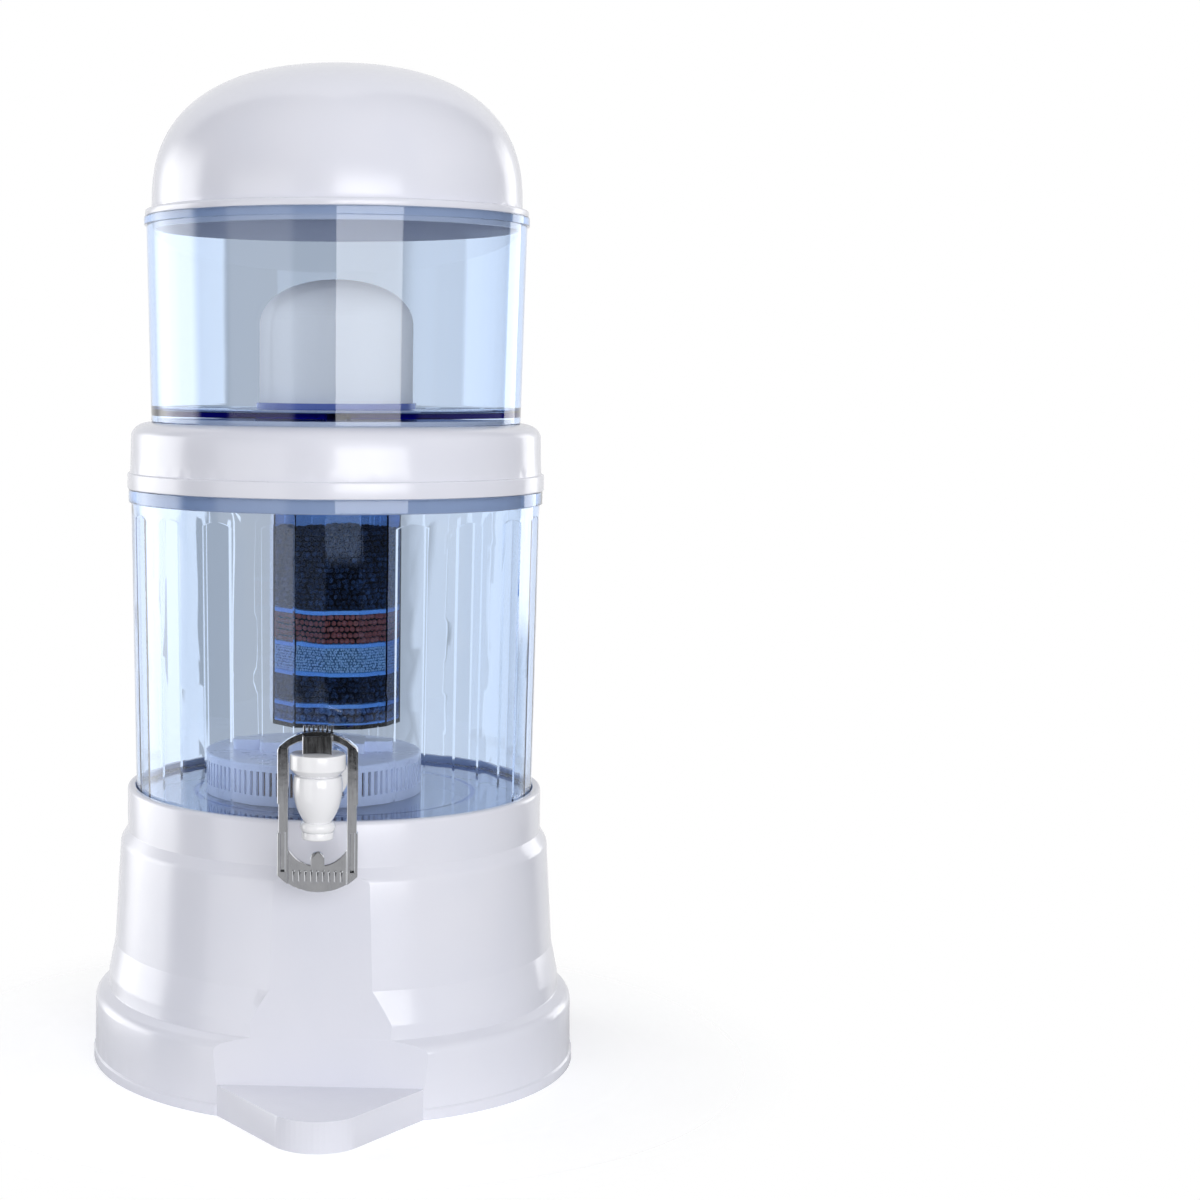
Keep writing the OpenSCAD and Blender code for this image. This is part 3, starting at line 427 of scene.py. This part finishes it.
def round_lump(rng, subdivisions, rough, squash):
    """A water-worn lump of about unit radius."""
    points, faces = sphere_mesh(subdivisions)
    shift = Vector((rng.uniform(-50, 50), rng.uniform(-50, 50), rng.uniform(-50, 50)))
    swell = [1 + rough * noise.noise(Vector(p) * 1.3 + shift) for p in points]
    stretch = [1.0, rng.uniform(0.85, 1.0), rng.uniform(squash, 1.0)]
    return points * np.array(swell)[:, None] * stretch, faces


def random_direction(rng):
    while True:
        v = np.array([rng.uniform(-1, 1) for _ in range(3)])
        size = np.linalg.norm(v)
        if 0.2 < size < 1.0:
            return v / size


def random_turn(rng):
    return np.array(Euler([rng.uniform(0, math.tau) for _ in range(3)]).to_matrix())


class Heap:
    """Many closed lumps gathered in one mesh."""

    def __init__(self, rng, shapes):
        self.rng = rng
        self.shapes = shapes
        self.points = []
        self.faces = []
        self.tones = []
        self.count = 0

    def add(self, points, faces, tone=0.0, spread=0.0):
        """Adds a closed lump whose faces are of that tone, or lighter by up to spread."""
        self.points.append(points)
        self.faces += (np.asarray(faces) + self.count).tolist()
        self.tones += [tone + self.rng.uniform(0.0, spread) for _ in range(len(faces))]
        self.count += len(points)

    def drop(self, centre, radius):
        """Adds one of the shapes, turned at random."""
        points, faces = self.rng.choice(self.shapes)
        tone = self.rng.uniform(0.0, 0.55)
        self.add(points * radius @ random_turn(self.rng).T + centre, faces, tone, 0.4)

    def build(self, name, material, smooth, gaps):
        """One mesh of the lumps, with their tones and their points' depth in the gaps, which sets
        the painted shade.
        """
        mesh = bpy.data.meshes.new(name)
        points = np.concatenate(self.points)
        mesh.from_pydata(points.tolist(), [], self.faces)
        mesh.attributes.new("tone", "FLOAT", "FACE").data.foreach_set("value", self.tones)
        mesh.attributes.new("gap", "FLOAT", "POINT").data.foreach_set("value", gaps(points))
        mesh.polygons.foreach_set("use_smooth", [smooth] * len(mesh.polygons))
        mesh.materials.append(material)
        mesh.update()
        piece = bpy.data.objects.new(name, mesh)
        scene.collection.objects.link(piece)
        return piece


# Points this close to the farthest from a layer's axis are at its corners
CORNER_SLACK = 0.01 * MM


class Prism:
    """The regular prism that a layer of loose grains fills, about its own axis."""

    def __init__(self, node):
        points = np.array([v.co[:] for v in nodes[node].data.vertices])
        self.low, self.high = points[:, 2].min(), points[:, 2].max()
        x, y = ((points[:, i].min() + points[:, i].max()) / 2 for i in (0, 1))
        self.axis = np.array([x, y, 0.0])
        points = points - self.axis
        reach = np.hypot(points[:, 0], points[:, 1])
        at_corner = reach > reach.max() - CORNER_SLACK
        corners = np.degrees(np.arctan2(points[:, 1], points[:, 0]))[at_corner]
        self.sides = len(set(np.round(corners, 1)))
        self.corner = reach.max()
        self.turn = math.radians(corners.min())

    def wall(self, angle):
        """How far the wall is from the axis at an angle."""
        step = math.tau / self.sides
        return self.corner * math.cos(step / 2) / math.cos((angle - self.turn) % step - step / 2)

    def core(self, inset, low, high):
        """A closed prism that far inside the wall, as (points, faces)."""
        n = self.sides
        reach = self.corner - inset
        turns = [self.turn + math.tau * i / n for i in range(n)]
        ring = [(reach * math.cos(a), reach * math.sin(a)) for a in turns]
        points = np.array([(x, y, z) for z in (low, high) for x, y in ring]) + self.axis
        faces = [(i, (i + 1) % n, n + (i + 1) % n) for i in range(n)]
        faces += [(i, n + (i + 1) % n, n + i) for i in range(n)]
        faces += [(0, i + 1, i) for i in range(1, n - 1)]
        faces += [(n, n + i, n + i + 1) for i in range(1, n - 1)]
        return points, faces


def fill_layer(
    node, body, slot, size, shapes, smooth, seed, step=(0.9, 0.8), spread=0.25, heaped=0.0
):
    """Grains of that diameter packed against the wall of a layer, over a core.

    They stand step apart round the wall and up it, in grain sizes, and spread is how unevenly. The
    relief of the layer's top is heaped deep.
    """
    rng = random.Random(seed)
    prism = Prism(node)
    heap = Heap(rng, shapes)

    def top(x, y):
        relief = 0.5 - 0.5 * noise.noise(Vector((x * RELIEF_SCALE + seed, y * RELIEF_SCALE, 0.3)))
        return prism.high - heaped * relief

    def ring(depth, radius_range):
        """Rows of grains round the layer, that deep behind its wall."""
        deep = prism.high - prism.low
        turns = int(math.tau * (prism.corner - depth) / (size * step[0]))
        rows = max(1, int((deep - size * 0.9) / (size * step[1])) + 1)
        for row in range(rows):
            z = prism.low + size * 0.48 + (deep - size * 0.96) * row / max(1, rows - 1)
            for i in range(turns):
                angle = math.tau * (i + 0.5 * (row % 2) + rng.uniform(-spread, spread)) / turns
                radius = size / 2 * rng.uniform(*radius_range)
                reach = prism.wall(angle) - radius * 1.02 - depth
                x, y = reach * math.cos(angle), reach * math.sin(angle)
                height = z + rng.uniform(-spread, spread) * size * 0.5
                height = min(max(height, prism.low + radius), prism.high - radius)
                if height + radius <= top(x, y) + size * 0.2:
                    heap.drop(prism.axis + (x, y, height), radius)

    def cover():
        """Grains all over the layer's heaped top."""
        pitch = size * 0.82
        n = int(prism.corner / pitch) + 1
        for i in range(-n, n + 1):
            for j in range(-n, n + 1):
                x = (i + rng.uniform(-0.3, 0.3)) * pitch
                y = (j + rng.uniform(-0.3, 0.3)) * pitch
                if math.hypot(x, y) < prism.wall(math.atan2(y, x)) - size:
                    place = prism.axis + (x, y, top(x, y) - size * 0.5)
                    heap.drop(place, size / 2 * rng.uniform(0.9, 1.25))

    def gaps(points):
        """How far each point is behind the wall and below the top, in grain radii, held at 3, which
        sets the painted shade.
        """
        off = points - prism.axis
        walls = np.array([prism.wall(a) for a in np.arctan2(off[:, 1], off[:, 0])])
        behind = (walls - np.hypot(off[:, 0], off[:, 1])) / (size * 0.5)
        if heaped:
            behind = np.minimum(behind, (prism.high - off[:, 2]) / size)
        return np.clip(behind, 0.0, 3.0)

    ring(0.0, (0.86, 1.12))
    ring(size * 0.75, (0.8, 1.0))
    core_high = prism.high - heaped - (size * 0.4 if heaped else size * 0.1)
    # The core fills the layer's middle, and lies deep enough to take the painted shade too
    heap.add(*prism.core(size * 1.25, prism.low + size * 0.1, core_high))
    if heaped:
        cover()
    piece = heap.build(node + "_grains", MATERIALS[slot], smooth, gaps)
    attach(piece, body)
    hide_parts(node)


def make_grains():
    rng = random.Random(7)
    chunks = [broken_lump(rng, 7, (0.5, 0.8)) for _ in range(14)]
    pebbles = [round_lump(rng, 2, 0.5, 0.6) for _ in range(10)]
    balls = [round_lump(rng, 2, 0.12, 0.85) for _ in range(6)]
    grit = [broken_lump(rng, 5, (0.5, 0.85)) for _ in range(6)]
    cartridge = "upper_tank"
    fill_layer(
        "carbon_upper", cartridge, "carbon", 3.9 * MM, chunks, False, 11, heaped=5.0 * MM
    )
    fill_layer("carbon_lower", cartridge, "carbon", 3.9 * MM, chunks, False, 12)
    fill_layer(
        "mineral_balls", cartridge, "clay_balls", 3.7 * MM, balls, True, 13, (1.0, 0.86), 0.08
    )
    fill_layer("bottom_stones", cartridge, "blue_stones", 4.6 * MM, pebbles, True, 15)
    fill_layer("mineral_sand", cartridge, "sand", 1.9 * MM, grit, False, 14, (0.95, 0.85))
    fill_layer(
        "case_stones", "lower_tank", "brown_stones", 8.6 * MM, pebbles, True, 16, heaped=3.0 * MM
    )


# ---------------------------------------------------------------- grip ribs on the lever's plate

RIBS = 9
RIB_PITCH = 3.4 * MM
RIB_WIDTH = 1.7 * MM
RIB_LENGTH = 7.0 * MM
RIB_RISE = 0.55 * MM
RIB_ABOVE_END = 9.4 * MM
# How far the ribs' feet are sunk in the plate
RIB_SINK = 0.2 * MM
# The part of the lever that is its plate: this far up from its end, and to the sides of its middle
PLATE_HEIGHT = 8 * MM
PLATE_HALF_WIDTH = 12 * MM


def rounded_rib(centre, steps=5, turns=8):
    """A crowned rib with round ends on a plate that faces -Y, as (points, faces)."""
    x, y, z = centre
    half = (RIB_LENGTH - RIB_WIDTH) / 2
    points, faces = [], []
    for k in range(steps + 1):
        lean = math.pi / 2 * k / steps
        r = RIB_WIDTH / 2 * (0.35 + 0.65 * math.cos(lean))
        out = -RIB_RISE * math.sin(lean) if k else RIB_SINK
        for end in (1, -1):
            for i in range(turns + 1):
                a = math.pi * i / turns + (0 if end > 0 else math.pi)
                points.append((x + r * math.cos(a), y + out, z + end * half + r * math.sin(a)))
    n = 2 * (turns + 1)
    for k in range(steps):
        for i in range(n):
            j = (i + 1) % n
            faces.append((k * n + i, k * n + j, (k + 1) * n + j, (k + 1) * n + i))
    faces += [list(range(n))[::-1], [steps * n + i for i in range(n)]]
    return points, faces


def make_grip_ribs():
    """Upright ribs across the plate at the lever's end."""
    points = np.array([v.co[:] for v in nodes["lever"].data.vertices])
    low = points[:, 2].min()
    beside = np.abs(points[:, 0]) < PLATE_HALF_WIDTH
    front = points[(points[:, 2] < low + PLATE_HEIGHT) & beside][:, 1].min()
    all_points, all_faces = [], []
    for i in range(RIBS):
        x = (i - (RIBS - 1) / 2) * RIB_PITCH
        rib_points, rib_faces = rounded_rib((x, front, low + RIB_ABOVE_END))
        all_faces += [[j + len(all_points) for j in f] for f in rib_faces]
        all_points += rib_points
    mesh = bpy.data.meshes.new("lever_grip_ribs")
    mesh.from_pydata(all_points, [], all_faces)
    bm = bmesh.new()
    bm.from_mesh(mesh)
    bmesh.ops.recalc_face_normals(bm, faces=bm.faces)
    bm.to_mesh(mesh)
    bm.free()
    mesh.polygons.foreach_set("use_smooth", [True] * len(mesh.polygons))
    mesh.materials.append(MATERIALS["chrome_plate"])
    ribs = bpy.data.objects.new("lever_grip_ribs", mesh)
    scene.collection.objects.link(ribs)
    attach(ribs, "lever")


# ---------------------------------------------------------------- the tap's spring


def make_spring():
    """The tap's return spring, which the rising stem presses against the top of its bore."""
    mesh = nodes["tap_spring"].data.copy()
    spring = bpy.data.objects.new("return_spring", mesh)
    scene.collection.objects.link(spring)
    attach(spring, "lower_tank")
    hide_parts("tap_spring")
    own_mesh(spring)


# ---------------------------------------------------------------- studio


class World:
    """Node helpers for the world's shader."""

    def __init__(self):
        self.world = bpy.data.worlds.new("studio")
        scene.world = self.world
        self.world.use_nodes = True
        self.tree = self.world.node_tree
        self.tree.nodes.clear()

    def add(self, kind, inputs=None, **settings):
        node = self.tree.nodes.new(kind)
        for key, value in settings.items():
            setattr(node, key, value)
        for socket, value in (inputs or {}).items():
            if isinstance(value, bpy.types.NodeSocket):
                self.tree.links.new(value, node.inputs[socket])
            else:
                node.inputs[socket].default_value = value
        return node

    def math(self, operation, first, second=0.0):
        return self.add("ShaderNodeMath", {0: first, 1: second}, operation=operation).outputs[0]

    def step(self, value, low, high):
        """0 at low, 1 at high, and smooth between them."""
        inputs = {"Value": value, "From Min": low, "From Max": high}
        return self.add("ShaderNodeMapRange", inputs, interpolation_type="SMOOTHSTEP").outputs[0]

    def window(self, value, start, full, fade, end):
        """0 up to start, 1 from full to fade, and 0 again from end."""
        return self.math("MULTIPLY", self.step(value, start, full), self.step(value, end, fade))


# What gloss sees of the studio: softboxes, by azimuth from the front towards +X and by elevation,
# each as where it starts, is full, starts to fade and ends, in degrees, and the strength
SOFTBOXES = (
    ((-152, -122, -96, -86), (-24, -5, 8, 30), 4.0),
    ((2.4, 3, 42, 42.6), (-5.0, -4.4, 4, 14), 5.0),
    ((50, 58, 122, 130), (-20, -12, 20, 45), 0.35),
    ((129, 131, 148, 150), (-8, -6, 12, 28), 2.8),
    ((-68, -62, -26, -20), (-36, -30, 6, 18), 1.3),
)
# How much of the softboxes shows in the far walls of the clear pieces
THROUGH_SHARE = 0.33
ROOM = 0.03
# The table from this far below the horizon, over soft degrees, and its strength
TABLE = (9.9, 0.4, 0.42)
# The azimuths that the backdrop leaves out: where it ends, is gone, starts again and is full
FRONT_ARC = (-126, -120, 132, 146)
MIRRORED_BACKDROP = 0.95
# The soft light from all round that lights matt surfaces
FILL = 0.43
FILL_COLOUR = (0.97, 0.98, 1.0)
# The backdrop's strength, by azimuth from straight behind: (from, soft, strength)
BACKDROP = ((-30.0, 1.0, 1.25), (-6.9, 0.3, 0.64), (-1.2, 0.8, 1.0), (1.4, 0.3, 1.25))


def make_world():
    """A studio that is white to the camera, and has softboxes, a table and a backdrop in gloss."""
    w = World()
    degrees = 180 / math.pi

    def angle(operation, *values):
        return w.math("MULTIPLY", w.math(operation, *values), degrees)

    toward = w.add("ShaderNodeSeparateXYZ", {0: w.add("ShaderNodeTexCoord").outputs["Generated"]})
    x, y, z = toward.outputs
    azimuth = angle("ARCTAN2", x, w.math("MULTIPLY", y, -1.0))
    elevation = angle("ARCSINE", z)
    behind = angle("ARCTAN2", x, y)

    table_edge, soft, strength = TABLE
    below = w.step(w.math("MULTIPLY", elevation, -1.0), table_edge, table_edge + soft)
    room = w.math("MAXIMUM", w.math("MULTIPLY", below, strength), ROOM)
    boxes = 0.0
    for azimuths, elevations, strength in SOFTBOXES:
        shape = w.math("MULTIPLY", w.window(azimuth, *azimuths), w.window(elevation, *elevations))
        boxes = w.math("MAXIMUM", boxes, w.math("MULTIPLY", shape, strength))
    backdrop = BACKDROP[0][2]
    for (_, _, before), (start, soft, strength) in zip(BACKDROP, BACKDROP[1:]):
        rise = w.math("MULTIPLY", w.step(behind, start, start + soft), strength - before)
        backdrop = w.math("ADD", rise, backdrop)
    is_behind = w.math("SUBTRACT", 1.0, w.window(azimuth, *FRONT_ARC))

    def studio(softboxes, backdrop):
        """The room and the table with softboxes and a backdrop of those strengths."""
        lit = w.math("MAXIMUM", softboxes, w.math("MULTIPLY", is_behind, backdrop))
        return w.math("MAXIMUM", room, lit)

    def background(strength, colour=(1.0, 1.0, 1.0)):
        return w.add("ShaderNodeBackground", {"Color": opaque(colour), "Strength": strength})

    path = w.add("ShaderNodeLightPath").outputs
    fill = background(FILL, FILL_COLOUR)
    mirrored = background(studio(boxes, MIRRORED_BACKDROP))
    through = background(studio(w.math("MULTIPLY", boxes, THROUGH_SHARE), backdrop))
    shown = fill
    for ray, shader in (
        ("Is Glossy Ray", mirrored),
        ("Is Transmission Ray", through),
        ("Is Camera Ray", background(1.0)),
        ("Diffuse Depth", fill),
    ):
        inputs = {0: path[ray], 1: shown.outputs[0], 2: shader.outputs[0]}
        shown = w.add("ShaderNodeMixShader", inputs)
    w.add("ShaderNodeOutputWorld", {"Surface": shown.outputs[0]})


LAMPS = (
    # name, place, what it points at, width, height, watts
    ("left", (-1.85, 0.75, 0.8), (0, 0, 0.35), 1.0, 1.6, 13),
    ("right", (1.6, -1.2, 1.0), (0, 0, 0.35), 1.0, 1.2, 4.5),
    ("front", (0.5, -2.2, 0.6), (0, 0, 0.3), 1.2, 1.2, 23),
    ("top", (0.0, -0.4, 2.3), (0, 0, 0.3), 1.4, 1.2, 6),
)
# Lamps that light only the pieces inside the clear tanks, in place of what the tanks' walls take
INNER_LAMPS = (
    ("inner_left", (-1.9, 0.1, 0.5), (0, 0, 0.35), 1.0, 1.0, 20),
    ("inner_right", (1.9, -0.5, 0.5), (0, 0, 0.35), 1.0, 1.0, 8),
    ("inner_front", (0.3, -2.0, 0.5), (0, 0, 0.35), 1.2, 1.2, 20),
)
CLEAR = ("clear_blue", "cartridge_clear")
# How far from the tanks' axis the pieces inside them reach, in metres
INNER_REACH = 0.1


def inner_pieces():
    """The pieces inside the tanks that aren't clear: those that stay near the axis."""
    group = bpy.data.collections.new("inner_pieces")
    for piece in scene.objects:
        if piece.type != "MESH" or not piece.data.materials:
            continue
        box = [piece.matrix_world @ Vector(c) for c in piece.bound_box]
        reach = max(abs(c[i]) for c in box for i in (0, 1))
        if reach < INNER_REACH and piece.data.materials[0].name not in CLEAR:
            group.objects.link(piece)
    return group


def make_lamps():
    """Area lamps that light surfaces and show in no gloss."""
    inner = inner_pieces()
    for name, place, target, width, height, watts in LAMPS + INNER_LAMPS:
        data = bpy.data.lights.new(name, "AREA")
        data.shape = "RECTANGLE"
        data.size, data.size_y, data.energy = width, height, watts
        lamp = bpy.data.objects.new(name, data)
        lamp.location = place
        lamp.rotation_euler = (Vector(target) - Vector(place)).to_track_quat("-Z", "Y").to_euler()
        lamp.visible_glossy = False
        lamp.visible_transmission = False
        if name.startswith("inner"):
            lamp.light_linking.receiver_collection = inner
        scene.collection.objects.link(lamp)


# How much the floor's own glow adds to what the camera sees, and where the floor fades out
FLOOR_GLOW = 0.36
FLOOR_FADE = (0.17, 0.30)


def make_floor():
    """A pale floor that fades into the white backdrop away from the object."""
    rings, sides, reach = 24, 96, 3.2
    turns = [math.tau * i / sides for i in range(sides)]
    points = [(0.0, 0.0, 0.0)]
    for k in range(1, rings + 1):
        r = reach * (k / rings) ** 1.6
        points += [(r * math.cos(a), r * math.sin(a), 0.0) for a in turns]
    faces = [(0, 1 + i, 1 + (i + 1) % sides) for i in range(sides)]
    for k in range(rings - 1):
        a, b = 1 + k * sides, 1 + (k + 1) * sides
        faces += [(a + i, b + i, b + (i + 1) % sides, a + (i + 1) % sides) for i in range(sides)]
    mesh = bpy.data.meshes.new("floor")
    mesh.from_pydata(points, [], faces)
    floor = bpy.data.objects.new("floor", mesh)
    scene.collection.objects.link(floor)
    matt = {"Roughness": 0.7, "Specular IOR Level": 0.2, "Emission Color": (1, 1, 1, 1)}
    paint = Paint("floor", matt)
    path = paint.add("ShaderNodeLightPath").outputs
    shown = paint.math("MAXIMUM", path["Is Camera Ray"], path["Is Transmission Ray"])
    cloud = paint.span(paint.noise(7, 4), 0.3, 0.7)
    paint.feed(
        paint.shader,
        {
            "Emission Strength": paint.math("MULTIPLY", shown, FLOOR_GLOW),
            "Base Color": paint.mix(cloud, (0.86, 0.86, 0.87), (0.90, 0.90, 0.905)),
        },
    )
    paint.bump(paint.noise(300, 3), 0.00005)
    centred = paint.add("ShaderNodeVectorMath", {0: paint.coords}, operation="LENGTH")
    far = paint.span(centred.outputs["Value"], *FLOOR_FADE)
    clear = paint.add("ShaderNodeBsdfTransparent")
    inputs = {0: far, 1: paint.shader.outputs[0], 2: clear.outputs[0]}
    paint.feed(paint.output, {"Surface": paint.add("ShaderNodeMixShader", inputs).outputs[0]})
    mesh.materials.append(paint.material)


make_camera()
make_world()
make_floor()
dress_cad()
make_grains()
make_grip_ribs()
make_spring()
make_lamps()

# Enough bounces for light to pass both tanks' walls and the cartridge
cycles = scene.cycles
cycles.max_bounces = 32
cycles.diffuse_bounces = 5
cycles.glossy_bounces = 8
cycles.transmission_bounces = 28
cycles.transparent_max_bounces = 32
scene.view_settings.view_transform = "Standard"
